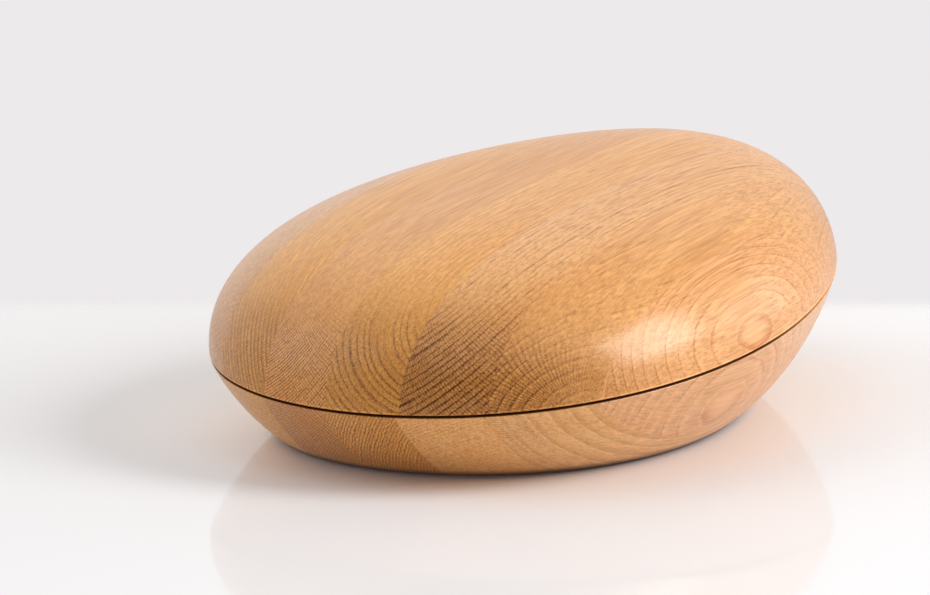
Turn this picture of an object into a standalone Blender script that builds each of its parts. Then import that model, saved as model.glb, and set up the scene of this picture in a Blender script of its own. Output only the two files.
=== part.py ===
"""Lidded wooden bowl, a pebble of edge-glued oak staves that parts along a slanting seam.

Metres, +Z up. The origin is on the floor, under the middle of the seam. +X runs along the
staves, towards the end where the seam lies higher, and +Y runs across them. A point of the
pebble is first worked out on the seam, as a distance along it, across it and square to it.
"""

import math

import bmesh
import bpy
import numpy as np
from mathutils import Matrix, Vector

# Plan of the pebble at the seam: an ellipse that narrows towards +X
HALF_LENGTH = 0.175
HALF_WIDTH = 0.118
NARROWING_SHARE = 0.18

# The seam between lid and bowl
SEAM_HEIGHT = 0.0487
SEAM_TILT = math.radians(5.1)
SEAM_GAP = 0.001
EASED_EDGE = 0.0007

# Lid: how high it stands on the seam, how its side and crown bend, and how far its top leans
LID_RISE = 0.054
LID_SIDE_POWER = 2.13
LID_CROWN_POWER = 3.39
LID_LEAN_ALONG = 0.002
LID_LEAN_ACROSS = 0.0055
LID_THICKNESS = 0.0125

# Bowl: the depth its side would reach with no floor, how it bends, and how far it leans
BOWL_DEPTH = 0.062
BOWL_SIDE_POWER = 1.107
BOWL_FOOT_POWER = 4.68
BOWL_LEAN_ALONG = 0.0145
BOWL_LEAN_ACROSS = 0.008
FOOT_EASING = 0.0015

# Hollow of the bowl, with a level bottom
BASE_THICKNESS = 0.0115
HOLLOW_SIDE_POWER = 1.6
HOLLOW_FLOOR_POWER = 5.5

# Rim: the lid's lip goes round the bowl's tongue
WALL = 0.013
LIP = 0.006
TONGUE_HEIGHT = 0.0055
TONGUE_CLEARANCE = 0.0006
SEAT_CLEARANCE = 0.0003

# Staves: the two outer ones have their own widths, and the ones between share the rest
FIRST_STAVE = 0.0476
LAST_STAVE = 0.0209
INNER_STAVES = 5
BOWL_STAVE_SHIFT = 0.0022

# How far a plank stands past the form that is cut from it
PLANK_OVERRUN = 0.01

# Fineness of the forms
BEARINGS = 72
SIDE_RINGS = 10
HOLLOW_RINGS = 8
PROFILE_SAMPLES = 400
HALVINGS = 50

# Oak tones: colour and roughness
OAK_TONES = {
    "oak_pale": ((0.62, 0.37, 0.19, 1.0), 0.42),
    "oak_amber": ((0.55, 0.30, 0.12, 1.0), 0.40),
    "oak_brown": ((0.42, 0.23, 0.10, 1.0), 0.45),
}
LID_TONES = (
    "oak_pale", "oak_brown", "oak_brown", "oak_amber", "oak_brown", "oak_amber", "oak_pale",
)
BOWL_TONES = (
    "oak_pale", "oak_brown", "oak_amber", "oak_amber", "oak_brown", "oak_pale", "oak_amber",
)


def to_world(along, across, rise):
    """The world point of a place given on the seam."""
    return Vector((
        along * math.cos(SEAM_TILT) - rise * math.sin(SEAM_TILT),
        across,
        SEAM_HEIGHT + along * math.sin(SEAM_TILT) + rise * math.cos(SEAM_TILT),
    ))


def floor_rise(along, level):
    """How far above the seam the plane at this height lies, so a negative value below it."""
    return (level - SEAM_HEIGHT - along * math.sin(SEAM_TILT)) / math.cos(SEAM_TILT)


def plan_point(bearing, share, inset):
    """A place on the plan, scaled by share, of the outline that lies this far inside the edge."""
    along = (HALF_LENGTH - inset) * math.cos(bearing)
    across = (HALF_WIDTH - inset) * math.sin(bearing) * (1 - NARROWING_SHARE * math.cos(bearing))
    return along * share, across * share


def width_share(height_share, side_power, end_power):
    """The section's size at this share of the height: 1 at the seam and 0 at the far end."""
    return max(0.0, 1 - height_share ** side_power) ** (1 / end_power)


def even_shares(start, end, reach, height, side_power, end_power, count):
    """Shares of the height, from start to end, whose points lie evenly along the profile."""
    shares = np.linspace(start, end, PROFILE_SAMPLES)
    # Close to the end the profile runs almost level, so the samples crowd there
    shares = end - (end - shares) ** 2 / (end - start)
    widths = np.array([width_share(share, side_power, end_power) for share in shares])
    steps = np.hypot(np.diff(widths) * reach, np.diff(shares) * height)
    lengths = np.concatenate(([0.0], np.cumsum(steps)))
    return np.interp(np.linspace(0.0, lengths[-1], count + 1), lengths, shares)


BEARING_ANGLES = [2 * math.pi * i / BEARINGS for i in range(BEARINGS)]


def flat_ring(inset, rise, share=1.0):
    """A ring at one height above the seam."""
    return [to_world(*plan_point(angle, share, inset), rise) for angle in BEARING_ANGLES]


def lid_ring(height_share, inset, height):
    """A ring of the lid's outer side, or of its hollow, at a share of that form's height."""
    share = width_share(height_share, LID_SIDE_POWER, LID_CROWN_POWER)
    ring = []
    for angle in BEARING_ANGLES:
        along, across = plan_point(angle, share, inset)
        ring.append(to_world(
            along + LID_LEAN_ALONG * height_share,
            across + LID_LEAN_ACROSS * height_share,
            height * height_share,
        ))
    return ring


def lid_rings():
    """The lid's closed skin, from the crown down its outside and up again inside."""
    hollow_height = LID_RISE - LID_THICKNESS
    ledge = TONGUE_HEIGHT - SEAM_GAP / 2 + SEAT_CLEARANCE
    rim = SEAM_GAP / 2
    start = (rim + EASED_EDGE) / LID_RISE
    side = even_shares(
        start, 1.0, HALF_LENGTH, LID_RISE, LID_SIDE_POWER, LID_CROWN_POWER, SIDE_RINGS + 1
    )
    inside = even_shares(
        ledge / hollow_height, 1.0, HALF_LENGTH - WALL, hollow_height,
        LID_SIDE_POWER, LID_CROWN_POWER, HOLLOW_RINGS,
    )
    rings = [lid_ring(share, 0.0, LID_RISE) for share in side[-2::-1]]
    rings.append(flat_ring(EASED_EDGE, rim))
    rings.append(flat_ring(LIP, rim))
    rings.append(flat_ring(LIP, ledge))
    rings += [lid_ring(share, WALL, hollow_height) for share in inside[:-1]]
    crown = to_world(LID_LEAN_ALONG, LID_LEAN_ACROSS, LID_RISE)
    ceiling = to_world(LID_LEAN_ALONG, LID_LEAN_ACROSS, hollow_height)
    return crown, rings, ceiling


def bowl_side_point(angle, depth_share):
    """A point of the bowl's outer side, at a share of the depth that it would have."""
    share = width_share(depth_share, BOWL_SIDE_POWER, BOWL_FOOT_POWER)
    along, across = plan_point(angle, share, 0.0)
    return to_world(
        along + BOWL_LEAN_ALONG * depth_share,
        across + BOWL_LEAN_ACROSS * depth_share,
        -BOWL_DEPTH * depth_share,
    )


def depth_share_at(angle, level):
    """The share of the depth at which the side comes down to this height, found by halving."""
    low, high = 0.0, 1.0
    for _ in range(HALVINGS):
        middle = (low + high) / 2
        if bowl_side_point(angle, middle).z > level:
            low = middle
        else:
            high = middle
    return low


def bowl_side_rings():
    """The bowl's outer side, from the floor up to its rim, each point shared out on its bearing."""
    top = (SEAM_GAP / 2 + EASED_EDGE) / BOWL_DEPTH
    rings = [[] for _ in range(SIDE_RINGS)]
    for angle in BEARING_ANGLES:
        foot = depth_share_at(angle, FOOT_EASING)
        shares = even_shares(
            top, foot, HALF_LENGTH, BOWL_DEPTH, BOWL_SIDE_POWER, BOWL_FOOT_POWER, SIDE_RINGS - 1
        )
        for ring, share in zip(rings, shares[::-1]):
            ring.append(bowl_side_point(angle, share))
    return rings


def foot_ring():
    """The edge of the flat base, drawn in a little from where the side would meet the floor."""
    ring = []
    for angle in BEARING_ANGLES:
        corner = bowl_side_point(angle, depth_share_at(angle, 0.0))
        inward = Vector((-corner.x, -corner.y, 0.0)).normalized()
        place = corner + inward * FOOT_EASING
        ring.append(Vector((place.x, place.y, 0.0)))
    return ring


def hollow_lean(depth_share):
    """How far along and across the hollow leans at this share of its depth, as the side does."""
    share = depth_share * (SEAM_HEIGHT - BASE_THICKNESS) / BOWL_DEPTH
    return BOWL_LEAN_ALONG * share, BOWL_LEAN_ACROSS * share


def hollow_ring(depth_share):
    """A ring of the bowl's hollow, between the tongue's top and the level bottom."""
    share = width_share(depth_share, HOLLOW_SIDE_POWER, HOLLOW_FLOOR_POWER)
    lean_along, lean_across = hollow_lean(depth_share)
    top = TONGUE_HEIGHT - SEAM_GAP / 2
    ring = []
    for angle in BEARING_ANGLES:
        along, across = plan_point(angle, share, WALL)
        along += lean_along
        across += lean_across
        rise = top + (floor_rise(along, BASE_THICKNESS) - top) * depth_share
        ring.append(to_world(along, across, rise))
    return ring


def bowl_rings():
    """The bowl's closed skin, from the middle of its base up its outside and down its hollow."""
    rim = -SEAM_GAP / 2
    tongue_top = rim + TONGUE_HEIGHT
    tongue_inset = LIP + TONGUE_CLEARANCE
    hollow_depth = SEAM_HEIGHT - BASE_THICKNESS
    rings = [foot_ring()] + bowl_side_rings()
    rim_share = width_share(-rim / BOWL_DEPTH, BOWL_SIDE_POWER, BOWL_FOOT_POWER)
    rings.append(flat_ring(EASED_EDGE, rim, rim_share))
    rings.append(flat_ring(tongue_inset, rim))
    rings.append(flat_ring(tongue_inset, tongue_top))
    inside = even_shares(
        0.0, 1.0, HALF_LENGTH - WALL, hollow_depth,
        HOLLOW_SIDE_POWER, HOLLOW_FLOOR_POWER, HOLLOW_RINGS,
    )
    rings += [hollow_ring(share) for share in inside[:-1]]
    base_middle = Vector((0.0, 0.0, 0.0))
    along, across = hollow_lean(1.0)
    bottom = to_world(along, across, floor_rise(along, BASE_THICKNESS))
    return base_middle, rings, bottom


def loft(name, first_pole, rings, last_pole, collection):
    """A closed form through the rings, with a fan of faces to a pole at each end."""
    shape = bmesh.new()
    loops = [[shape.verts.new(point) for point in ring] for ring in rings]
    start = shape.verts.new(first_pole)
    end = shape.verts.new(last_pole)
    for i in range(BEARINGS):
        following = (i + 1) % BEARINGS
        shape.faces.new((start, loops[0][i], loops[0][following]))
        for upper, lower in zip(loops, loops[1:]):
            shape.faces.new((upper[i], lower[i], lower[following], upper[following]))
        shape.faces.new((loops[-1][i], end, loops[-1][following]))
    bmesh.ops.triangulate(shape, faces=shape.faces[:])
    bmesh.ops.recalc_face_normals(shape, faces=shape.faces[:])
    mesh = bpy.data.meshes.new(name)
    shape.to_mesh(mesh)
    shape.free()
    mesh.shade_smooth()
    form = bpy.data.objects.new(name, mesh)
    form.hide_render = True
    form.display_type = "WIRE"
    collection.objects.link(form)
    return form


def joint_lines(shift):
    """Where the glue joints lie across the pebble, from +Y to -Y."""
    inner_width = (2 * HALF_WIDTH - FIRST_STAVE - LAST_STAVE) / INNER_STAVES
    first = HALF_WIDTH - FIRST_STAVE + shift
    return [first - inner_width * i for i in range(INNER_STAVES + 1)]


def plank(name, low, high):
    """A sawn plank between two lines across the pebble, long and thick enough for any form."""
    reach = HALF_LENGTH + abs(BOWL_LEAN_ALONG) + abs(LID_LEAN_ALONG) + PLANK_OVERRUN
    top = SEAM_HEIGHT + LID_RISE + HALF_LENGTH * math.sin(SEAM_TILT) + PLANK_OVERRUN
    shape = bmesh.new()
    bmesh.ops.create_cube(shape, size=1.0, matrix=Matrix.Diagonal((2 * reach, 1.0, 1.0, 1.0)))
    for vert in shape.verts:
        # Neighbours share the very same number, so their faces meet without a gap or an overlap
        vert.co.y = high if vert.co.y > 0 else low
        vert.co.z = top if vert.co.z > 0 else -PLANK_OVERRUN
    mesh = bpy.data.meshes.new(name)
    shape.to_mesh(mesh)
    shape.free()
    return mesh


def oak(tone, name):
    """The stave's own oak."""
    colour, roughness = OAK_TONES[tone]
    material = bpy.data.materials.new(name)
    material.use_nodes = True
    shader = material.node_tree.nodes["Principled BSDF"]
    shader.inputs["Base Color"].default_value = colour
    shader.inputs["Roughness"].default_value = roughness
    shader.inputs["Metallic"].default_value = 0.0
    material.diffuse_color = colour
    return material


def make_staves(prefix, form, shift, tones, carrier, collection):
    """Cuts the form out of a row of planks, each of them one stave."""
    edge = HALF_WIDTH * (1 + NARROWING_SHARE) + abs(BOWL_LEAN_ACROSS) + PLANK_OVERRUN
    lines = [edge] + joint_lines(shift) + [-edge]
    for number, (high, low) in enumerate(zip(lines, lines[1:]), start=1):
        name = f"{prefix}_stave_{number}"
        stave = bpy.data.objects.new(name, plank(name, low, high))
        stave.data.materials.append(oak(tones[(number - 1) % len(tones)], name))
        collection.objects.link(stave)
        carve = stave.modifiers.new("carve", "BOOLEAN")
        carve.operation = "INTERSECT"
        carve.solver = "EXACT"
        carve.object = form
        stave.parent = carrier
        stave.matrix_parent_inverse = Matrix.Translation(-carrier.location)


def make_carrier(name, collection):
    """An empty on the seam that carries one half of the pebble."""
    carrier = bpy.data.objects.new(name, None)
    carrier.location = (0.0, 0.0, SEAM_HEIGHT)
    collection.objects.link(carrier)
    return carrier


def clear_scene():
    """Removes whatever the scene opened with."""
    for thing in list(bpy.data.objects):
        bpy.data.objects.remove(thing, do_unlink=True)


def make_collection(name, hidden=False):
    """A collection in the scene."""
    collection = bpy.data.collections.new(name)
    collection.hide_render = hidden
    bpy.context.scene.collection.children.link(collection)
    return collection


def main():
    """Builds the bowl, then the lid on it."""
    clear_scene()
    parts = make_collection("lidded_wooden_bowl")
    cutters = make_collection("forms", hidden=True)
    bowl_form = loft("bowl_form", *bowl_rings(), cutters)
    lid_form = loft("lid_form", *lid_rings(), cutters)
    bowl = make_carrier("bowl", parts)
    lid = make_carrier("lid", parts)
    make_staves("bowl", bowl_form, BOWL_STAVE_SHIFT, BOWL_TONES, bowl, parts)
    make_staves("lid", lid_form, 0.0, LID_TONES, lid, parts)


if __name__ == "__main__":
    main()
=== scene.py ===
"""Looks of the lidded wooden bowl, a pebble of edge-glued oak staves that parts along a slanting seam.

Metres, +Z up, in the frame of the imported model. Each stave is carved from its own plank of oak
with a finer surface and rounded edges at the seam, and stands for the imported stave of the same
name. The oak's figure is a solid pattern of growth rings, rays and pores round the middle of the
log that the plank came from, so it runs right through a stave, as in wood.
"""

import logging
import math
from dataclasses import dataclass, field, fields
from enum import Enum

import bpy
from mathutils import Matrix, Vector

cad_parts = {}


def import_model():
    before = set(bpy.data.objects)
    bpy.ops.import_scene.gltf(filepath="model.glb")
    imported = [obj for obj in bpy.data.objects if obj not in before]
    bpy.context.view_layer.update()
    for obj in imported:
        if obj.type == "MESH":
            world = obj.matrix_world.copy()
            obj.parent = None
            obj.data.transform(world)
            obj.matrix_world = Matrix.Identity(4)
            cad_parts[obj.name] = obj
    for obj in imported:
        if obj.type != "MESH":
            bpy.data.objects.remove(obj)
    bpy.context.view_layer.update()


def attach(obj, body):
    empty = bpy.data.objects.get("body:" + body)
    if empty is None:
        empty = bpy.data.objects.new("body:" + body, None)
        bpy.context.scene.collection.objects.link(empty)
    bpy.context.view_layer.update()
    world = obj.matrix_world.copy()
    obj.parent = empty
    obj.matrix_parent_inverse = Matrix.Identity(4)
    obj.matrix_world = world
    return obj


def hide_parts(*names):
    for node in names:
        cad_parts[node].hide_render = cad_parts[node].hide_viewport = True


LOG = logging.getLogger("lidded_wooden_bowl")

MILLIMETRE = 0.001

Pair = tuple[float, float]
Triple = tuple[float, float, float]
Colour = Triple
Socket = bpy.types.NodeSocket

# How a pattern's place is scaled along the fibres and across them, per millimetre
Stretch = Pair
# A smooth step: its low and high ends and, unless they are 0 and 1, what it gives at each
Step = tuple[float, ...]

WHITE: Colour = (1.0, 1.0, 1.0)


class Graph:
    """Adds nodes to one node tree and wires them up."""

    def __init__(self, tree: bpy.types.NodeTree) -> None:
        """Works on this tree."""
        self.tree = tree

    def node(self, kind: str, *values: object, **settings: object) -> bpy.types.Node:
        """Adds a node.

        Args:
            kind: The node's type name.
            values: What its first inputs take, as sockets or plain values; None leaves one alone.
            settings: Properties of the node.

        Returns:
            The new node.
        """
        node = self.tree.nodes.new(kind)
        for name, setting in settings.items():
            setattr(node, name, setting)
        for socket, value in zip(node.inputs, values):
            self.feed(socket, value)
        return node

    def feed(self, socket: Socket, value: object) -> None:
        """Gives an input its value.

        Args:
            socket: The input.
            value: A socket to link, a plain value, where a colour gets full alpha, or None to
                leave the input alone.
        """
        if isinstance(value, bpy.types.NodeSocket):
            self.tree.links.new(value, socket)
        elif value is not None:
            socket.default_value = (*value, 1.0) if socket.type == "RGBA" else value

    def dress(self, node: bpy.types.Node, **values: object) -> bpy.types.Node:
        """Gives a node's inputs their values.

        Args:
            node: The node.
            values: What each input takes, named with an underscore for a space.

        Returns:
            The same node.
        """
        for title, value in values.items():
            self.feed(node.inputs[title.replace("_", " ")], value)
        return node

    def math(self, operation: str, *values: object) -> Socket:
        """The result of a Math node."""
        return self.node("ShaderNodeMath", *values, operation=operation).outputs[0]

    def scaled(self, factor: object, value: object, offset: object = 0.0) -> Socket:
        """The value times a factor, plus an offset."""
        return self.math("MULTIPLY_ADD", value, factor, offset)

    def product(self, first: object, *others: object) -> Socket:
        """Multiplies values.

        Args:
            first: The first of them.
            others: The rest, in order.

        Returns:
            Their product.
        """
        for other in others:
            first = self.math("MULTIPLY", first, other)
        return first

    def off_middle(self, count: object) -> Socket:
        """How far a count is from the middle of its unit, from 0 to 0.5."""
        return self.math("ABSOLUTE", self.math("SUBTRACT", self.math("FRACT", count), 0.5))

    def combine(self, x: object, y: object, z: object) -> Socket:
        """A vector from its three parts."""
        return self.node("ShaderNodeCombineXYZ", x, y, z).outputs[0]

    def separate(self, vector: Socket) -> list[Socket]:
        """The three parts of a vector."""
        return list(self.node("ShaderNodeSeparateXYZ", vector).outputs)

    def dot(self, vector: Socket, direction: object) -> Socket:
        """How far a vector reaches in a direction."""
        node = self.node("ShaderNodeVectorMath", vector, direction, operation="DOT_PRODUCT")
        return node.outputs["Value"]

    def stretched(self, vector: Socket, stretch: Stretch) -> Socket:
        """A vector whose first part is scaled by one factor and whose other two by another."""
        scale = (*stretch, stretch[1])
        return self.node("ShaderNodeVectorMath", vector, scale, operation="MULTIPLY").outputs[0]

    def noise(self, vector: Socket, detail: float = 2.0, roughness: float = 0.5) -> Socket:
        """Noise from 0 to 1 whose features are about one unit of the vector wide."""
        node = self.node("ShaderNodeTexNoise", noise_dimensions="3D", normalize=True)
        return self.dress(
            node, Vector=vector, Scale=1.0, Detail=detail, Roughness=roughness).outputs["Fac"]

    def drift(self, vector: Socket, reach: object) -> Socket:
        """Noise that goes as far as this reach to either side of 0."""
        centred = self.math("SUBTRACT", self.noise(vector), 0.5)
        return self.product(self.scaled(2.0, centred), reach)

    def ease(self, value: object, low: object, high: object,
             start: object = 0.0, end: object = 1.0) -> Socket:
        """A smooth step from start, where the value is low, to end, where it is high."""
        node = self.node(
            "ShaderNodeMapRange", value, low, high, start, end, interpolation_type="SMOOTHSTEP")
        return node.outputs[0]

    def fade(self, value: object, low: object, high: object) -> Socket:
        """A smooth step down, from 1 where the value is low to 0 where it is high."""
        return self.ease(value, low, high, 1.0, 0.0)

    def tinted(self, colour: object, share: object, tint: object) -> Socket:
        """Multiplies a colour by a tint.

        Args:
            colour: The colour.
            share: How much of the tint it takes.
            tint: The tint.

        Returns:
            The new colour.
        """
        node = self.node("ShaderNodeMix", data_type="RGBA", blend_type="MULTIPLY", clamp_factor=True)
        sockets = {socket.identifier: socket for socket in (*node.inputs, *node.outputs)}
        for identifier, value in (("Factor_Float", share), ("A_Color", colour), ("B_Color", tint)):
            self.feed(sockets[identifier], value)
        return sockets["Result_Color"]


def floats(*titles: str) -> dict[str, str]:
    """Inputs or outputs of a node group that are all plain numbers."""
    return {title: "NodeSocketFloat" for title in titles}


class NodeGroup:
    """A node tree with named inputs and outputs, built once."""

    def __init__(self, name: str, kind: str, inputs: dict[str, str], outputs: dict[str, str]) -> None:
        """Opens the tree.

        Args:
            name: The group's name.
            kind: The tree's type, for shaders or for geometry.
            inputs: The socket type of each input, by name.
            outputs: The socket type of each output, by name.
        """
        self.tree = bpy.data.node_groups.new(name, kind)
        self.identifiers: dict[str, str] = {}
        for direction, sockets in (("INPUT", inputs), ("OUTPUT", outputs)):
            for title, sort in sockets.items():
                socket = self.tree.interface.new_socket(title, in_out=direction, socket_type=sort)
                self.identifiers[title] = socket.identifier
        self.graph = Graph(self.tree)
        self.given = self.graph.node("NodeGroupInput").outputs
        self.result = self.graph.node("NodeGroupOutput")

    def place(self, graph: Graph, **values: object) -> dict[str, Socket]:
        """Places the group in a material.

        Args:
            graph: The material's graph.
            values: What each input takes, named with an underscore for a space.

        Returns:
            The group's outputs, by name.
        """
        node = graph.dress(graph.node("ShaderNodeGroup", node_tree=self.tree), **values)
        return {socket.name: socket for socket in node.outputs}


@dataclass(frozen=True)
class Plan:
    """The pebble's outline on the seam: an ellipse that narrows towards +X."""

    half_length: float = 0.175
    half_width: float = 0.118
    narrowing_share: float = 0.18


@dataclass(frozen=True)
class Seam:
    """The slanting seam, and the lip and tongue that meet along it."""

    height: float = 0.0487
    tilt: float = math.radians(5.1)
    gap: float = 0.001
    edge_radius: float = 0.0007
    wall: float = 0.013
    lip: float = 0.006
    tongue_height: float = 0.0055
    tongue_clearance: float = 0.0006
    seat_clearance: float = 0.0003


@dataclass(frozen=True)
class StaveLayout:
    """The staves' widths: the two outer ones have their own, and the ones between share the rest."""

    first_width: float = 0.0476
    last_width: float = 0.0209
    inner_count: int = 5
    overrun: float = 0.01

    def lines(self, plan: Plan, shift: float) -> list[float]:
        """Where the staves' faces lie across the pebble.

        Args:
            plan: The pebble's outline.
            shift: How far this half's staves lie towards +Y.

        Returns:
            The places from +Y to -Y, the open edges included.
        """
        edge = plan.half_width * (1 + plan.narrowing_share) + self.overrun
        width = (2 * plan.half_width - self.first_width - self.last_width) / self.inner_count
        first = plan.half_width - self.first_width + shift
        return [edge] + [first - width * i for i in range(self.inner_count + 1)] + [-edge]


@dataclass(frozen=True)
class ProfileRow:
    """One ring of the form: how it is drawn from the plan, and how high it lies on the seam."""

    share: float
    rise: float
    inset: float = 0.0
    lean: float = 0.0
    sink: float = 0.0


ROW_VALUES = [part.name for part in fields(ProfileRow)]


def arc_shares(count: int, side_power: float, end_power: float, start: float = 0.0) -> list[Pair]:
    """Points along the curve height**side_power + width**end_power = 1, from the seam to the pole.

    Args:
        count: How many steps the whole curve has.
        side_power: How the side bends.
        end_power: How the end bends.
        start: The share of the height at which the points begin.

    Returns:
        A list of (height share, width share), from start to (1, 0).
    """
    points = [(start, (1 - start ** side_power) ** (1 / end_power))]
    for step in range(1, count):
        turn = math.pi / 2 * (1 - (1 - (step / count) ** (side_power / 2)) ** (end_power / 2))
        height = math.sin(turn) ** (2 / side_power)
        if height > start:
            points.append((height, math.cos(turn) ** (2 / end_power)))
    return points + [(1.0, 0.0)]


def rounded_corner(radius: float, steps: int) -> list[Pair]:
    """A quarter round, as how far in and how far down each point lies from the corner's start."""
    turns = [math.pi / 2 * i / steps for i in range(steps + 1)]
    return [(radius * (1 - math.cos(turn)), radius * math.sin(turn)) for turn in turns]


@dataclass
class StaveTree:
    """The geometry tree that carries a profile round the plan and saws one stave out of the form."""

    plan: Plan
    seam: Seam
    bearings: int = 400
    merge_distance: float = 1e-6
    sharp_angle: float = math.radians(35)
    foot_easing: float = 0.0015
    group: NodeGroup = field(init=False)

    def __post_init__(self) -> None:
        """Builds the tree."""
        inputs = {"Profile": "NodeSocketGeometry", "Bearings": "NodeSocketInt", "Oak": "NodeSocketMaterial"}
        sizes = floats(
            "Half Length", "Half Width", "Narrowing", "Seam Height", "Seam Tilt", "Lean Along",
            "Lean Across", "Hollow Level", "Foot Easing", "Stave Low", "Stave High", "Overrun")
        self.group = NodeGroup(
            "Pebble stave", "GeometryNodeTree", inputs | sizes, {"Stave": "NodeSocketGeometry"})
        graph = self.group.graph
        saw = graph.node("GeometryNodeMeshBoolean", operation="INTERSECT", solver="MANIFOLD")
        for mesh in (self.sweep(), self.plank()):
            graph.tree.links.new(mesh, saw.inputs[1])
        smooth = graph.node("GeometryNodeSetShadeSmooth", saw.outputs[0], True, True, domain="FACE")
        angle = graph.node("GeometryNodeInputMeshEdgeAngle").outputs[0]
        sharp = graph.node("FunctionNodeCompare", angle, self.sharp_angle, operation="GREATER_THAN")
        edged = graph.node(
            "GeometryNodeSetShadeSmooth", smooth.outputs[0], sharp.outputs[0], False, domain="EDGE")
        real = graph.node("GeometryNodeRealizeInstances", edged.outputs[0]).outputs[0]
        dressed = graph.node("GeometryNodeSetMaterial", real, True, self.group.given["Oak"]).outputs[0]
        graph.dress(self.group.result, Stave=dressed)

    def sweep(self) -> Socket:
        """Carries the profile's rows round the plan and closes the result.

        Returns:
            The whole half, before it is sawn.
        """
        graph = self.group.graph
        given = self.group.given
        count = graph.node("GeometryNodeAttributeDomainSize", given["Profile"], component="MESH").outputs[0]
        columns = graph.math("ADD", given["Bearings"], 1.0)
        grid = graph.node("GeometryNodeMeshGrid", 1.0, 1.0, columns, count).outputs[0]
        x, y, _ = graph.separate(graph.node("GeometryNodeInputPosition").outputs[0])
        bearing = graph.scaled(2 * math.pi, x, math.pi)
        last = graph.math("SUBTRACT", count, 1.0)
        row = graph.math("ROUND", graph.product(graph.math("ADD", y, 0.5), last))
        share, rise, inset, lean, sink = (self.row_value(name, row) for name in ROW_VALUES)
        cosine = graph.math("COSINE", bearing)
        narrowed = graph.scaled(cosine, graph.scaled(-1.0, given["Narrowing"]), 1.0)
        sideways = graph.product(graph.math("SINE", bearing), narrowed)
        along, across = (
            graph.scaled(
                reach, graph.product(graph.math("SUBTRACT", given[half], inset), share),
                graph.product(lean, given[shift]))
            for half, reach, shift in (
                ("Half Length", cosine, "Lean Along"), ("Half Width", sideways, "Lean Across")))
        slope_cosine = graph.math("COSINE", given["Seam Tilt"])
        slope_sine = graph.math("SINE", given["Seam Tilt"])
        climb = graph.scaled(slope_sine, along, given["Seam Height"])
        level = graph.math("DIVIDE", graph.math("SUBTRACT", given["Hollow Level"], climb), slope_cosine)
        rise = graph.scaled(sink, graph.math("SUBTRACT", level, rise), rise)
        world_x = graph.scaled(slope_cosine, along, graph.product(graph.scaled(-1.0, rise), slope_sine))
        world_z = graph.scaled(slope_cosine, rise, climb)
        # Whatever would reach below the floor is pressed flat on it, with a rounded foot
        world_z = graph.math("SMOOTH_MAX", world_z, 0.0, graph.scaled(2.0, given["Foot Easing"]))
        place = graph.combine(world_x, across, world_z)
        moved = graph.node("GeometryNodeSetPosition", grid, True, place).outputs[0]
        return graph.node("GeometryNodeMergeByDistance", moved, True, self.merge_distance).outputs[0]

    def row_value(self, name: str, row: Socket) -> Socket:
        """Looks up one value of the profile's rows.

        Args:
            name: The value's name.
            row: The number of the row at each point.

        Returns:
            The value at each point.
        """
        graph = self.group.graph
        value = graph.node("GeometryNodeInputNamedAttribute", name, data_type="FLOAT").outputs[0]
        sample = graph.node("GeometryNodeSampleIndex", data_type="FLOAT", domain="POINT")
        graph.dress(sample, Geometry=self.group.given["Profile"], Value=value, Index=row)
        return sample.outputs[0]

    def plank(self) -> Socket:
        """Makes the plank that the stave is sawn from.

        Returns:
            A block between the stave's two faces, longer and higher than the pebble.
        """
        graph = self.group.graph
        given = self.group.given
        length = graph.scaled(2.0, graph.math("ADD", given["Half Length"], given["Overrun"]))
        width = graph.math("SUBTRACT", given["Stave High"], given["Stave Low"])
        middle = graph.scaled(0.5, graph.math("ADD", given["Stave High"], given["Stave Low"]))
        cube = graph.node("GeometryNodeMeshCube", graph.combine(length, width, length)).outputs[0]
        return graph.node("GeometryNodeTransform", cube, graph.combine(0.0, middle, 0.0)).outputs[0]

    def saw(self, name: str, profile: list[ProfileRow], sizes: dict[str, float],
            oak: bpy.types.Material) -> bpy.types.Object:
        """Makes one stave as a plain mesh.

        Args:
            name: The piece's name.
            profile: The rows of the form that it is sawn from.
            sizes: The tree's inputs that belong to this half and this stave.
            oak: The stave's material.

        Returns:
            The stave.
        """
        cage = bpy.data.meshes.new(name)
        cage.from_pydata([(0.0, 0.0, 0.0)] * len(profile), [], [])
        for value in ROW_VALUES:
            attribute = cage.attributes.new(value, "FLOAT", "POINT")
            attribute.data.foreach_set("value", [getattr(row, value) for row in profile])
        carver = bpy.data.objects.new(name + "_profile", cage)
        bpy.context.scene.collection.objects.link(carver)
        modifier = carver.modifiers.new("stave", "NODES")
        modifier.node_group = self.group.tree
        shared = {
            "Bearings": self.bearings, "Half Length": self.plan.half_length,
            "Half Width": self.plan.half_width, "Narrowing": self.plan.narrowing_share,
            "Seam Height": self.seam.height, "Seam Tilt": self.seam.tilt,
            "Foot Easing": self.foot_easing, "Oak": oak,
        }
        for title, value in (shared | sizes).items():
            modifier[self.group.identifiers[title]] = value
        graph = bpy.context.evaluated_depsgraph_get()
        mesh = bpy.data.meshes.new_from_object(carver.evaluated_get(graph), depsgraph=graph)
        mesh.name = name
        bpy.data.objects.remove(carver)
        stave = bpy.data.objects.new(name, mesh)
        bpy.context.scene.collection.objects.link(stave)
        return stave


class Figure(Enum):
    """How a growth ring shows: how strong its dark line of pores is, and the pale line beside it."""

    DARK = (1.0, 0.15)
    PAIRED = (0.8, 0.8)
    PALE = (0.45, 1.0)


DARK_LINE: Colour = (0.28, 0.13, 0.0)
AMBER_LINE: Colour = (0.62, 0.37, 0.16)


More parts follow.
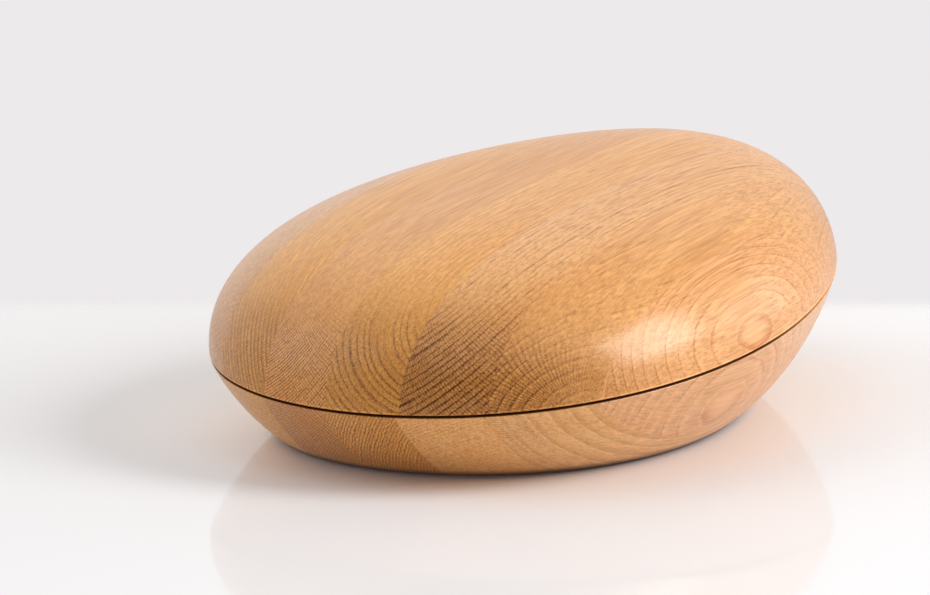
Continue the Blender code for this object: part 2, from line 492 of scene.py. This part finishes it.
@dataclass(frozen=True)
class Board:
    """The oak of one stave. Lengths here are in millimetres, as the rings are counted in them.

    At X = 0 the log's middle lies at pith, across and up, and slope gives how far it moves across
    and up for each millimetre along. The rays are ray_spacing apart at ray_reach from it.
    """

    slot: str
    ground: Colour
    pith: Pair
    slope: Pair = (0.0, 0.0)
    ring_spacing: float = 2.5
    ring_offset: float = 0.0
    ring_width: float = 0.55
    ring_strength: float = 0.5
    figure: Figure = Figure.DARK
    line_tint: Colour = DARK_LINE
    unevenness: float = 0.3
    wobble: float = 0.8
    ripple: float = 0.12
    steadiness: float = 0.0
    band_strength: float = 0.2
    ray_spacing: float = 1.5
    ray_strength: float = 0.35
    ray_reach: float = 100.0
    pore_strength: float = 0.3
    tone_strength: float = 0.5
    end_strength: float = 1.0
    roughness: float = 0.42


@dataclass(frozen=True)
class RingLooks:
    """How growth rings wander and vary, and how their lines rise and fade, as shares of their width."""

    wobble_stretch: Stretch = (0.008, 0.035)
    ripple_stretch: Stretch = (0.07, 0.4)
    unevenness_rate: float = 0.55
    unevenness_seed: Pair = (3.7, 1.3)
    strength_rates: Triple = (5.3, 0.05, 0.05)
    strength: Step = (0.32, 0.58, 0.45, 1.0)
    onset_share: float = 0.35
    fading_shares: Pair = (0.45, 1.3)
    pale_shares: Pair = (0.5, 1.8)


@dataclass(frozen=True)
class RayLooks:
    """How rays wander, come and go, and how the rows of vessels between them cut them into dots."""

    wander: float = 0.35
    wander_stretch: Stretch = (0.02, 0.12)
    leaf_half_share: float = 0.36
    strength_rates: Triple = (0.10, 0.06, 3.1)
    strength: Step = (0.30, 0.50, 0.45, 1.0)
    clear_radii: Step = (5.0, 20.0)
    row_rate: float = 0.9
    row_shake: float = 0.35
    row_stretch: Stretch = (0.1, 0.5)
    row_half_share: float = 0.42


@dataclass(frozen=True)
class PoreLooks:
    """The open pores, which are dashes on long grain and dots on end grain, and the fibres' streaks."""

    dash: Step = (0.52, 0.64, 0.0, 0.6)
    dash_stretch: Stretch = (0.03, 1.8)
    dot: Step = (0.50, 0.58, 0.0, 1.3)
    dot_stretch: Stretch = (0.6, 1.3)
    streak_stretch: Stretch = (0.03, 0.8)
    streak_detail: float = 3.0
    streak_roughness: float = 0.65
    break_stretch: Stretch = (0.022, 0.28)


@dataclass(frozen=True)
class PaintedEdgeShading:
    """The painted shade in the seam's gap and on the foot, and the painted highlight on the lid's edge
    above the seam. Shares are of half the seam's gap, and the rest is in metres.
    """

    seam_shade_shares: Pair = (1.1, 1.6)
    seam_shade_along: Step = (-0.03, 0.06, 1.0, 0.1)
    rim_highlight_onset_shares: Pair = (1.4, 1.8)
    rim_highlight_fading_shares: Pair = (2.4, 3.4)
    foot_shade_up: Step = (0.001, 0.0045, 0.95, 0.0)


@dataclass(frozen=True)
class OakLooks:
    """What all the oak has in common: its oil finish, the colours that its ground turns to, and the painted
    shade and highlight along the seam and the foot.
    """

    rings: RingLooks = RingLooks()
    rays: RayLooks = RayLooks()
    pores: PoreLooks = PoreLooks()
    edges: PaintedEdgeShading = PaintedEdgeShading()
    pale_tint: Colour = (1.45, 1.60, 1.45)
    band_tint: Colour = (0.66, 0.54, 0.40)
    pore_tint: Colour = (0.46, 0.27, 0.07)
    end_tint: Colour = (0.57, 0.50, 0.35)
    amber_tint: Colour = (0.94, 0.82, 0.60)
    # Painted shade in the seam's gap
    seam_shade_tint: Colour = (0.18, 0.12, 0.08)
    # Painted highlight on the lid's rounded edge above the seam
    rim_highlight_tint: Colour = (1.35, 1.35, 1.30)
    # Painted shade on the bowl's foot where it meets the table
    foot_shade_tint: Colour = (0.30, 0.18, 0.08)
    end_grain: Step = (0.18, 0.84)
    cloud: Step = (0.35, 0.65)
    cloud_stretch: Stretch = (0.004, 0.045)
    late_season: Step = (0.2, 0.95)
    streak: Step = (0.38, 0.66)
    streak_share: float = 0.5
    unbroken: Step = (0.42, 0.62, 0.0, 0.5)
    dotted_share: float = 0.35
    ray_cut: Step = (0.25, 0.8)
    plain_ray_share: float = 0.45
    pore_roughness: float = 0.2
    pore_depth_share: float = 0.7
    line_depth_share: float = 0.4
    bump_depth: float = 0.00005
    specular_level: float = 0.4
    specular_tint: Colour = (1.0, 0.82, 0.55)
    coat_weight: float = 0.4
    coat_roughness: float = 0.2


# The input of every oak group: a point's place in the log, in millimetres, with the fibres along X
LOG_PLACE = {"Log": "NodeSocketVector"}


class OakShop:
    """Makes the staves' materials from shared shader groups."""

    def __init__(self, looks: OakLooks, seam: Seam) -> None:
        """Builds the shared groups.

        Args:
            looks: What all the oak has in common.
            seam: The seam, along which shade is painted on the faces that meet and a highlight on the lid's
                edge.
        """
        self.looks = looks
        self.seam = seam
        self.rings = self.make_rings()
        self.rays = self.make_rays()
        self.pores = self.make_pores()
        self.shade = self.make_shade()

    def make_rings(self) -> NodeGroup:
        """Makes the growth rings round the log's middle.

        Returns:
            The group, with each ring's dark and pale line.
        """
        group = NodeGroup(
            "Growth rings", "ShaderNodeTree",
            LOG_PLACE | floats("Spacing", "Offset", "Width", "Unevenness", "Wobble", "Ripple"),
            floats("Dark", "Pale", "Season", "Radius"))
        graph = group.graph
        given = group.given
        looks = self.looks.rings
        _, across, up = graph.separate(given["Log"])
        radius = graph.math("SQRT", graph.scaled(across, across, graph.product(up, up)))
        for reach, stretch in (("Wobble", looks.wobble_stretch), ("Ripple", looks.ripple_stretch)):
            strayed = graph.drift(graph.stretched(given["Log"], stretch), given[reach])
            radius = graph.math("ADD", radius, strayed)
        count = graph.math("DIVIDE", graph.math("SUBTRACT", radius, given["Offset"]), given["Spacing"])
        place = graph.combine(graph.scaled(looks.unevenness_rate, count), *looks.unevenness_seed)
        count = graph.math("ADD", count, graph.drift(place, given["Unevenness"]))
        season = graph.math("FRACT", count)
        # Each ring has a strength of its own, which also comes and goes along it
        ring = graph.math("FLOOR", count)
        place = graph.combine(*map(graph.scaled, looks.strength_rates, (ring, across, up)))
        strength = graph.ease(graph.noise(place, detail=1.0), *looks.strength)
        share = graph.math("DIVIDE", given["Width"], given["Spacing"])
        onset = graph.ease(season, 0.0, graph.scaled(looks.onset_share, share))
        fading = graph.fade(season, *(graph.scaled(part, share) for part in looks.fading_shares))
        left = graph.scaled(-1.0, season, 1.0)
        pale = graph.fade(left, *(graph.scaled(part, share) for part in looks.pale_shares))
        graph.dress(
            group.result, Dark=graph.product(onset, fading, strength), Pale=graph.product(pale, strength),
            Season=season, Radius=radius)
        return group

    def make_rays(self) -> NodeGroup:
        """Makes the fine rays that stand out from the log's middle, each a short leaf along the fibres.

        Returns:
            The group, with the rays whole and cut into dots.
        """
        group = NodeGroup(
            "Oak rays", "ShaderNodeTree", LOG_PLACE | floats("Radius", "Spacing", "Reach"),
            floats("Ray", "Weave"))
        graph = group.graph
        given = group.given
        looks = self.looks.rays
        along, across, up = graph.separate(given["Log"])
        arc = graph.product(graph.math("ARCTAN2", up, across), given["Reach"])
        wander = graph.drift(graph.stretched(given["Log"], looks.wander_stretch), looks.wander)
        count = graph.math("ADD", graph.math("DIVIDE", arc, given["Spacing"]), wander)
        leaf = graph.fade(graph.off_middle(count), 0.0, looks.leaf_half_share)
        own = graph.math("FLOOR", count)
        place = graph.combine(*map(graph.scaled, looks.strength_rates, (along, given["Radius"], own)))
        strength = graph.ease(graph.noise(place, detail=1.0), *looks.strength)
        # Close to the middle the rays run together and fade into the ground
        strength = graph.product(strength, graph.ease(given["Radius"], *looks.clear_radii))
        ray = graph.product(leaf, strength)
        # Between the rays the vessels of each year stand in rows, which weave the rays into dots
        shake = graph.drift(graph.stretched(given["Log"], looks.row_stretch), looks.row_shake)
        row = graph.off_middle(graph.scaled(looks.row_rate, graph.math("ADD", given["Radius"], shake)))
        dots = graph.fade(row, 0.0, looks.row_half_share)
        graph.dress(group.result, Ray=ray, Weave=graph.product(ray, dots))
        return group

    def make_pores(self) -> NodeGroup:
        """Makes the open pores, as short dashes along the fibres, and the fine streaks of the fibres.

        Returns:
            The group, with the pores, the streaks and where long lines break up.
        """
        group = NodeGroup(
            "Oak pores", "ShaderNodeTree", LOG_PLACE | floats("End Grain"),
            floats("Pore", "Streak", "Break"))
        graph = group.graph
        log = group.given["Log"]
        looks = self.looks.pores
        dash = graph.ease(graph.noise(graph.stretched(log, looks.dash_stretch), detail=1.0), *looks.dash)
        dot = graph.ease(graph.noise(graph.stretched(log, looks.dot_stretch), detail=1.0), *looks.dot)
        crossed = graph.product(graph.math("SUBTRACT", dot, dash), group.given["End Grain"])
        streak = graph.noise(
            graph.stretched(log, looks.streak_stretch), looks.streak_detail, looks.streak_roughness)
        graph.dress(
            group.result, Pore=graph.math("ADD", dash, crossed), Streak=streak,
            Break=graph.noise(graph.stretched(log, looks.break_stretch), detail=1.0))
        return group

    def make_shade(self) -> NodeGroup:
        """Makes the oak's surface from its figure, with painted shade along the seam and the foot and a
        painted highlight on the lid's edge.

        Returns:
            The group, with the colour, the roughness and the height.
        """
        colours = {"Ground": "NodeSocketColor", "Line Tint": "NodeSocketColor"}
        measures = floats(
            "End Grain", "End Strength", "Dark", "Dark Strength", "Pale", "Pale Strength", "Season",
            "Band Strength", "Ray", "Weave", "Ray Strength", "Pore", "Pore Strength", "Streak", "Break",
            "Tone Strength", "Roughness", "Steadiness", "Seam Shade", "Rim", "Foot")
        group = NodeGroup(
            "Oiled oak", "ShaderNodeTree", LOG_PLACE | colours | measures,
            {"Colour": "NodeSocketColor"} | floats("Roughness", "Height"))
        graph = group.graph
        given = group.given
        looks = self.looks
        cloud = graph.ease(graph.noise(graph.stretched(given["Log"], looks.cloud_stretch)), *looks.cloud)
        amber = graph.product(cloud, given["Tone Strength"])
        end = graph.product(given["End Grain"], given["End Strength"])
        band = graph.product(graph.ease(given["Season"], *looks.late_season), given["Band Strength"])
        streak = graph.scaled(looks.streak_share, graph.ease(given["Streak"], *looks.streak))
        # On long grain the lines are softer and break up into streaks along the fibres
        unbroken = graph.ease(given["Break"], *looks.unbroken)
        crisp = graph.math("MAXIMUM", given["End Grain"], unbroken)
        crisp = graph.math("MAXIMUM", crisp, given["Steadiness"])
        # The pores and the rays that cross a line turn it into a row of dots
        pored = graph.scaled(looks.dotted_share, given["Pore"], 1 - looks.dotted_share)
        dots = graph.math("MAXIMUM", pored, given["Ray"])
        dark = graph.product(given["Dark"], dots, given["Dark Strength"], crisp)
        pale = graph.product(given["Pale"], given["Pale Strength"], crisp)
        woven = graph.scaled(
            looks.plain_ray_share, given["Ray"], graph.scaled(1 - looks.plain_ray_share, given["Weave"]))
        cut = graph.ease(given["End Grain"], *looks.ray_cut)
        ray = graph.product(woven, given["Ray Strength"], cut)
        pore = graph.product(given["Pore"], given["Pore Strength"])
        colour = given["Ground"]
        # The last three tints are painted: shade in the seam's gap, a highlight on the lid's edge above it
        # and shade on the bowl's foot
        for share, tint in (
                (amber, looks.amber_tint), (end, looks.end_tint), (band, looks.band_tint),
                (streak, looks.band_tint), (dark, given["Line Tint"]), (pale, looks.pale_tint),
                (ray, looks.pore_tint), (pore, looks.pore_tint), (given["Seam Shade"], looks.seam_shade_tint),
                (given["Rim"], looks.rim_highlight_tint), (given["Foot"], looks.foot_shade_tint)):
            colour = graph.tinted(colour, share, tint)
        depth = graph.math("ADD", graph.scaled(looks.line_depth_share, dark), ray)
        depth = graph.math("ADD", graph.scaled(looks.pore_depth_share, pore), depth)
        graph.dress(
            group.result, Colour=colour, Height=graph.scaled(-1.0, depth),
            Roughness=graph.scaled(looks.pore_roughness, pore, given["Roughness"]))
        return group

    def material(self, name: str, board: Board) -> bpy.types.Material:
        """Makes one stave's oak.

        Args:
            name: The material's name.
            board: The stave's board.

        Returns:
            The material.
        """
        looks = self.looks
        material = bpy.data.materials.new(name)
        material.use_nodes = True
        graph = Graph(material.node_tree)
        place = graph.node("ShaderNodeTexCoord").outputs
        fibre = Vector((1.0, *board.slope))
        log = graph.dress(
            graph.node("ShaderNodeMapping", place["Object"], vector_type="TEXTURE"),
            Location=Vector((0.0, *board.pith)) * MILLIMETRE,
            Rotation=Vector((1, 0, 0)).rotation_difference(fibre).to_euler(),
            Scale=(MILLIMETRE,) * 3).outputs[0]
        facing = graph.math("ABSOLUTE", graph.dot(place["Normal"], fibre.normalized()))
        end_grain = graph.ease(facing, *looks.end_grain)
        rings = self.rings.place(
            graph, Log=log, Spacing=board.ring_spacing, Offset=board.ring_offset,
            Width=board.ring_width, Unevenness=board.unevenness, Wobble=board.wobble,
            Ripple=board.ripple)
        rays = self.rays.place(
            graph, Log=log, Radius=rings.pop("Radius"), Spacing=board.ray_spacing,
            Reach=board.ray_reach)
        pores = self.pores.place(graph, Log=log, End_Grain=end_grain)
        dark, pale = board.figure.value
        # The edge shading adds painted shade along the seam and the foot and a painted highlight on the
        # lid's edge
        oak = self.shade.place(
            graph, **rings, **rays, **pores, **self.painted_edge_shading(graph, place["Object"]),
            Log=log, End_Grain=end_grain, Ground=board.ground, Line_Tint=board.line_tint,
            End_Strength=board.end_strength, Dark_Strength=board.ring_strength * dark,
            Pale_Strength=board.ring_strength * pale, Band_Strength=board.band_strength,
            Ray_Strength=board.ray_strength, Pore_Strength=board.pore_strength,
            Tone_Strength=board.tone_strength, Roughness=board.roughness,
            Steadiness=board.steadiness)
        bump = graph.dress(graph.node("ShaderNodeBump"), Distance=looks.bump_depth, Height=oak["Height"])
        graph.dress(
            material.node_tree.nodes["Principled BSDF"], Base_Color=oak["Colour"],
            Roughness=oak["Roughness"], Normal=bump.outputs[0],
            Specular_IOR_Level=looks.specular_level, Specular_Tint=looks.specular_tint,
            Coat_Weight=looks.coat_weight, Coat_Roughness=looks.coat_roughness)
        return material

    def painted_edge_shading(self, graph: Graph, place: Socket) -> dict[str, Socket]:
        """Where shade is painted on the wood along the seam and at the foot, and a highlight on the lid's
        edge.

        Args:
            graph: The material's graph.
            place: Where a point of the stave is.

        Returns:
            The painted shade on the two faces that meet in the seam's gap, the painted highlight on the
            lid's rounded edge above them, and the painted shade on the foot where it meets the table.
        """
        seam = self.seam
        looks = self.looks.edges
        across_seam = (-math.sin(seam.tilt), 0.0, math.cos(seam.tilt))
        above = graph.math("SUBTRACT", graph.dot(place, across_seam), seam.height * math.cos(seam.tilt))
        face = seam.gap / 2
        # Painted shade on the two faces that meet in the seam's gap
        seam_shade = graph.fade(graph.math("ABSOLUTE", above), *(face * share for share in looks.seam_shade_shares))
        along, _, up = graph.separate(place)
        # Towards the narrow end light falls into the seam and the painted shade fades
        seam_shade = graph.product(seam_shade, graph.ease(along, *looks.seam_shade_along))
        # Painted highlight on the lid's rounded edge just above the seam's gap
        onset = graph.ease(above, *(face * share for share in looks.rim_highlight_onset_shares))
        fading = graph.fade(above, *(face * share for share in looks.rim_highlight_fading_shares))
        # Painted shade on the bowl's foot, darkest where it meets the table
        foot = graph.ease(up, *looks.foot_shade_up)
        return {"Seam Shade": seam_shade, "Rim": graph.product(onset, fading), "Foot": foot}


PEACH: Colour = (0.94, 0.54, 0.28)
APRICOT: Colour = (0.90, 0.475, 0.215)
HONEY: Colour = (0.95, 0.54, 0.22)
GOLD: Colour = (0.97, 0.50, 0.12)
STRAW: Colour = (0.88, 0.46, 0.18)
WHEAT: Colour = (0.83, 0.42, 0.16)
AMBER: Colour = (0.90, 0.45, 0.13)
TAN: Colour = (0.84, 0.41, 0.115)
CHESTNUT: Colour = (0.80, 0.385, 0.12)
ROSE: Colour = (0.76, 0.40, 0.17)
UMBER: Colour = (0.80, 0.38, 0.085)


@dataclass
class Half:
    """One half of the pebble: a form that is sawn into staves."""

    tree: StaveTree
    layout: StaveLayout
    shop: OakShop
    boards: list[Board]
    name: str = "half"
    lean_along: float = 0.0
    lean_across: float = 0.0
    hollow_level: float = 0.0
    stave_shift: float = 0.0
    sanding: float = 0.0002
    side_steps: int = 72
    hollow_steps: int = 40
    corner_steps: int = 4

    def profile(self) -> list[ProfileRow]:
        """The rows of this half's form."""
        raise NotImplementedError

    def build(self) -> None:
        """Makes, dresses and seats every stave of this half."""
        profile = self.profile()
        lines = self.layout.lines(self.tree.plan, self.stave_shift)
        shared = {
            "Lean Along": self.lean_along, "Lean Across": self.lean_across,
            "Hollow Level": self.hollow_level, "Overrun": self.layout.overrun,
        }
        for number, (board, high, low) in enumerate(zip(self.boards, lines, lines[1:]), start=1):
            node = f"{self.name}_stave_{number}"
            sizes = shared | {"Stave Low": low, "Stave High": high}
            oak = self.shop.material(f"{node}_oak", board)
            stave = self.tree.saw(f"{node}_oak", profile, sizes, oak)
            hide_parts(node)
            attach(stave, self.name)
            LOG.info("%s: %d faces, rides on %s", stave.name, len(stave.data.polygons), self.name)


@dataclass
class Lid(Half):
    """The lid, with a lip round its rim and a hollow under its crown."""

    name: str = "lid"
    lean_along: float = 0.002
    lean_across: float = 0.0055
    rise: float = 0.054
    thickness: float = 0.0125
    side_power: float = 2.13
    crown_power: float = 3.39

    def profile(self) -> list[ProfileRow]:
        """Lists the rows of the lid's form.

        Returns:
            The rows from the crown down the outside, round the lip and up the hollow.
        """
        seam = self.tree.seam
        rim = seam.gap / 2
        ledge = seam.tongue_height - rim + seam.seat_clearance
        hollow = self.rise - self.thickness
        start = (rim + seam.edge_radius) / self.rise
        side = arc_shares(self.side_steps, self.side_power, self.crown_power, start)
        sanded = self.rise - self.sanding
        rows = [ProfileRow(share, sanded * h, inset=self.sanding, lean=h) for h, share in reversed(side)]
        corner = rounded_corner(seam.edge_radius, self.corner_steps)
        rows += [
            ProfileRow(1.0, rim + seam.edge_radius - down, inset=self.sanding + inward)
            for inward, down in corner[1:]]
        rows += [ProfileRow(1.0, rim, inset=seam.lip), ProfileRow(1.0, ledge, inset=seam.lip)]
        inside = arc_shares(self.hollow_steps, self.side_power, self.crown_power, ledge / hollow)
        rows += [ProfileRow(share, hollow * h, inset=seam.wall, lean=h) for h, share in inside]
        return rows


@dataclass
class Bowl(Half):
    """The bowl, with a tongue that stands up inside the lid's lip and a level-bottomed hollow."""

    name: str = "bowl"
    lean_along: float = 0.0145
    lean_across: float = 0.008
    hollow_level: float = 0.0115
    stave_shift: float = 0.0022
    depth: float = 0.062
    side_power: float = 1.107
    foot_power: float = 4.68
    hollow_side_power: float = 1.6
    hollow_floor_power: float = 5.5

    def profile(self) -> list[ProfileRow]:
        """Lists the rows of the bowl's form.

        Returns:
            The rows from the hollow's bottom up to the tongue, round the rim and down the outside.
        """
        seam = self.tree.seam
        rim = -seam.gap / 2
        top = rim + seam.tongue_height
        tongue_inset = seam.lip + seam.tongue_clearance
        sink = (seam.height - self.hollow_level) / self.depth
        inside = arc_shares(self.hollow_steps, self.hollow_side_power, self.hollow_floor_power)
        rows = [
            ProfileRow(share, top, inset=seam.wall, lean=h * sink, sink=h) for h, share in reversed(inside)]
        rows += [ProfileRow(1.0, top, inset=tongue_inset), ProfileRow(1.0, rim, inset=tongue_inset)]
        start = (seam.edge_radius - rim) / self.depth
        side = arc_shares(self.side_steps, self.side_power, self.foot_power, start)
        corner = rounded_corner(seam.edge_radius, self.corner_steps)
        edge_share = side[0][1]
        rim_share = (1 - (-rim / self.depth) ** self.side_power) ** (1 / self.foot_power)
        for inward, down in reversed(corner[1:]):
            share = edge_share + (rim_share - edge_share) * down / seam.edge_radius
            rows.append(ProfileRow(share, rim - seam.edge_radius + down, inset=self.sanding + inward))
        rows += [ProfileRow(share, -self.depth * h, inset=self.sanding, lean=h) for h, share in side]
        return rows


LID_BOARDS = [
    Board("oak_pale", ROSE, pith=(-55, 121), slope=(-0.036, 0.013), ring_spacing=2.6,
          ring_strength=0.3, ray_strength=0.3, end_strength=0.5),
    Board("oak_brown", UMBER, pith=(180, -2), slope=(0.0, 0.089), ring_spacing=2.4, ring_width=0.8,
          figure=Figure.PALE, ring_strength=1.0, ray_reach=160, ray_spacing=1.0, ray_strength=0.8,
          end_strength=0.8),
    Board("oak_brown", CHESTNUT, pith=(58, 95), slope=(0.005, 0.089), ring_spacing=1.15,
          ring_width=0.5, ring_strength=1.1, ray_reach=50, ray_spacing=1.1, ray_strength=0.6,
          end_strength=0.25),
    Board("oak_amber", AMBER, pith=(-50, 84), ring_spacing=2.8, ring_width=1.0,
          figure=Figure.PAIRED, ring_strength=1.0, steadiness=0.1, unevenness=0.5,
          band_strength=0.6, ripple=0.45, ray_reach=60, ray_spacing=0.9, ray_strength=0.45,
          end_strength=0.8),
    Board("oak_brown", STRAW, pith=(-2, 96), slope=(-0.008, -0.001), ring_spacing=2.6,
          ring_width=0.85, ring_strength=1.5, unevenness=0.6, steadiness=0.2, ray_reach=61,
          ray_spacing=0.95, ray_strength=0.9, pore_strength=0.5),
    Board("oak_amber", WHEAT, pith=(-90, 44), slope=(0.017, 0.091), ring_spacing=4.3,
          ring_offset=1.4, ring_width=1.0, figure=Figure.PAIRED, ring_strength=1.0, wobble=0.9,
          ripple=0.3, ray_reach=30, ray_spacing=1.3, ray_strength=1.0, pore_strength=0.45),
    Board("oak_pale", APRICOT, pith=(268.9, -44.2), slope=(0.015, 0.122), ring_spacing=2.1,
          ring_offset=399.3, ring_width=0.36, line_tint=AMBER_LINE, ring_strength=1.0,
          unevenness=0.0, steadiness=0.9, wobble=0.1, ripple=0.18, band_strength=0.35,
          ray_reach=400, ray_strength=0.3, pore_strength=0.55),
]
BOWL_BOARDS = [
    Board("oak_pale", HONEY, pith=(-60, 100), ring_spacing=3.0, ring_strength=0.3,
          ray_strength=0.2, end_strength=0.8),
    Board("oak_brown", GOLD, pith=(-200, 15), slope=(-0.033, 0.014), ring_spacing=2.4,
          ring_strength=0.3, ray_strength=0.2, end_strength=0.5),
    Board("oak_amber", TAN, pith=(-71, 75), slope=(-0.026, 0.032), ring_spacing=2.0,
          ring_width=0.7, ring_strength=1.2, ray_reach=100, ray_spacing=1.0, ray_strength=0.8,
          end_strength=0.4),
    Board("oak_amber", TAN, pith=(-194, -120), slope=(0.022, 0.051), ring_spacing=1.2,
          ring_width=0.5, figure=Figure.PAIRED, ring_strength=1.2, unevenness=0.4, ripple=0.8,
          ray_reach=240, ray_spacing=1.0, ray_strength=0.4, end_strength=0.6),
    Board("oak_brown", HONEY, pith=(-198, -343), ring_spacing=1.3, ring_width=0.45,
          ring_strength=0.6, unevenness=0.6, ray_reach=400, ray_spacing=1.2, ray_strength=0.3,
          end_strength=0.2),
    Board("oak_pale", HONEY, pith=(-198, 28.7), slope=(-0.008, 0.035), ring_spacing=6.5,
          ring_width=3.0, ring_strength=0.6, unevenness=0.6, band_strength=0.6, ray_reach=120,
          ray_spacing=1.1, ray_strength=0.5, end_strength=0.2),
    Board("oak_amber", PEACH, pith=(413.1, 402.7), slope=(-0.013, 0.0068), ring_spacing=1.6,
          ring_offset=643.25, ring_width=0.45, line_tint=AMBER_LINE, ring_strength=1.0,
          unevenness=0.2, steadiness=0.8, wobble=0.2, ripple=0.2, band_strength=0.5,
          ray_reach=644, ray_strength=0.1, end_strength=0.3),
]


def heading(azimuth: float, elevation: float = 0.0) -> Vector:
    """The direction to where an azimuth, from -Y towards +X, and an elevation point, in radians."""
    level = math.cos(elevation)
    return Vector((math.sin(azimuth) * level, -math.cos(azimuth) * level, math.sin(elevation)))


def aimed(name: str, data: bpy.types.ID, aim: Vector, back: Vector,
          distance: float) -> bpy.types.Object:
    """Hangs a camera or a lamp this far back from the point that it looks at.

    Args:
        name: The object's name.
        data: The camera or the light.
        aim: The point that it looks at.
        back: The direction from the aim to it.
        distance: How far back it is.

    Returns:
        The new object.
    """
    thing = bpy.data.objects.new(name, data)
    thing.location = aim + back * distance
    thing.rotation_euler = back.to_track_quat("Z", "Y").to_euler()
    bpy.context.scene.collection.objects.link(thing)
    return thing


@dataclass(frozen=True)
class Viewpoint:
    """The camera: where it looks from, and the point on the floor that it looks at."""

    azimuth: float = math.radians(-58.5)
    elevation: float = math.radians(11.59)
    distance: float = 3.590
    aim: Triple = (0.192, 0.160, 0.0)
    lens: float = 300.0
    sensor: float = 36.0

    def place(self) -> None:
        """Makes the scene's camera."""
        data = bpy.data.cameras.new("camera")
        data.lens = self.lens
        data.sensor_width = self.sensor
        back = heading(self.azimuth, self.elevation)
        bpy.context.scene.camera = aimed("camera", data, Vector(self.aim), back, self.distance)


@dataclass(frozen=True)
class Softbox:
    """A square studio lamp, aimed at the bowl, and whether the oil finish mirrors it."""

    name: str
    azimuth: float
    elevation: float
    size: float
    power: float
    mirrored: bool = True
    distance: float = 2.2

    def hang(self, aim: Vector) -> None:
        """Makes the lamp.

        Args:
            aim: The point that it is turned towards.
        """
        data = bpy.data.lights.new(self.name, "AREA")
        data.shape = "SQUARE"
        data.size = self.size
        data.energy = self.power
        back = heading(math.radians(self.azimuth), math.radians(self.elevation))
        aimed(self.name, data, aim, back, self.distance).visible_glossy = self.mirrored


LAMPS = [
    Softbox("key", azimuth=20, elevation=35, size=1.1, power=38),
    Softbox("fill", azimuth=216, elevation=40, size=1.6, power=7),
    Softbox("front", azimuth=-58, elevation=65, size=1.6, power=5),
    Softbox("low card", azimuth=-55, elevation=5, size=0.8, power=11, mirrored=False),
    Softbox("edge card", azimuth=58, elevation=15, size=1.0, power=6),
]


@dataclass
class Studio:
    """The table that the bowl stands on, the pale room round it and the lamps."""

    view: Viewpoint
    lamps: list[Softbox]
    lamp_aim: Triple = (0.0, 0.0, 0.05)
    table_reach: float = 6.0
    table_fade: float = 0.035
    table_drop: float = 0.0001
    table_colour: Colour = (0.86, 0.84, 0.842)
    table_roughness: float = 0.06
    table_specular_level: float = 0.06
    room_colour: Colour = (0.85, 0.822, 0.83)
    room_light: float = 1.06
    room_shade: float = 0.13
    shade_edge: float = -0.6
    bright_turn: float = math.radians(230)
    horizon_blend: float = 0.03

    def table(self) -> None:
        """Makes the glossy white table, whose far edge melts into the room just behind the bowl."""
        away = -heading(self.view.azimuth)
        far = Vector(self.view.aim)
        far.z = -self.table_drop
        near = far - away * self.table_reach
        side = Vector((-away.y, away.x, 0.0)) * self.table_reach
        mesh = bpy.data.meshes.new("table")
        mesh.from_pydata([near + side, near - side, far - side, far + side], [], [(0, 1, 2, 3)])
        table = bpy.data.objects.new("table", mesh)
        bpy.context.scene.collection.objects.link(table)
        material = bpy.data.materials.new("white_acrylic")
        material.use_nodes = True
        graph = Graph(material.node_tree)
        depth = graph.dot(graph.node("ShaderNodeTexCoord").outputs["Object"], away)
        edge = far.dot(away)
        graph.dress(
            material.node_tree.nodes["Principled BSDF"], Base_Color=self.table_colour,
            Roughness=self.table_roughness, Specular_IOR_Level=self.table_specular_level,
            Alpha=graph.fade(depth, edge - self.table_fade, edge))
        mesh.materials.append(material)

    def room(self) -> None:
        """Makes the pale room: what is seen of it, and the light that it gives."""
        world = bpy.data.worlds.new("room")
        world.use_nodes = True
        world.node_tree.nodes.clear()
        graph = Graph(world.node_tree)
        direction = graph.node("ShaderNodeTexCoord").outputs["Generated"]
        brightness = graph.dot(direction, heading(self.view.azimuth + self.bright_turn))
        level = graph.ease(brightness, self.shade_edge, 1.0, self.room_shade, self.room_light)
        sky = graph.node("ShaderNodeBackground", WHITE, level)
        # What lies below the table's level is the pale backdrop that the camera sees past it
        backdrop = graph.node("ShaderNodeBackground", self.room_colour, 1.0)
        above = graph.ease(graph.separate(direction)[2], -self.horizon_blend, self.horizon_blend)
        mixed = graph.node("ShaderNodeMixShader", above, backdrop.outputs[0], sky.outputs[0])
        graph.node("ShaderNodeOutputWorld", mixed.outputs[0])
        bpy.context.scene.world = world

    def build(self) -> None:
        """Makes the table, the room and the lamps."""
        self.table()
        self.room()
        for lamp in self.lamps:
            lamp.hang(Vector(self.lamp_aim))


def main() -> None:
    """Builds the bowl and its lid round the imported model, then the studio."""
    logging.basicConfig(level=logging.INFO, format="%(message)s")
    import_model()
    view = Viewpoint()
    view.place()
    bpy.context.scene.view_settings.view_transform = "Standard"
    seam = Seam()
    tree = StaveTree(Plan(), seam)
    layout = StaveLayout()
    shop = OakShop(OakLooks(), seam)
    for half in (Bowl(tree, layout, shop, BOWL_BOARDS), Lid(tree, layout, shop, LID_BOARDS)):
        half.build()
    Studio(view, LAMPS).build()


if __name__ == "__main__":
    main()
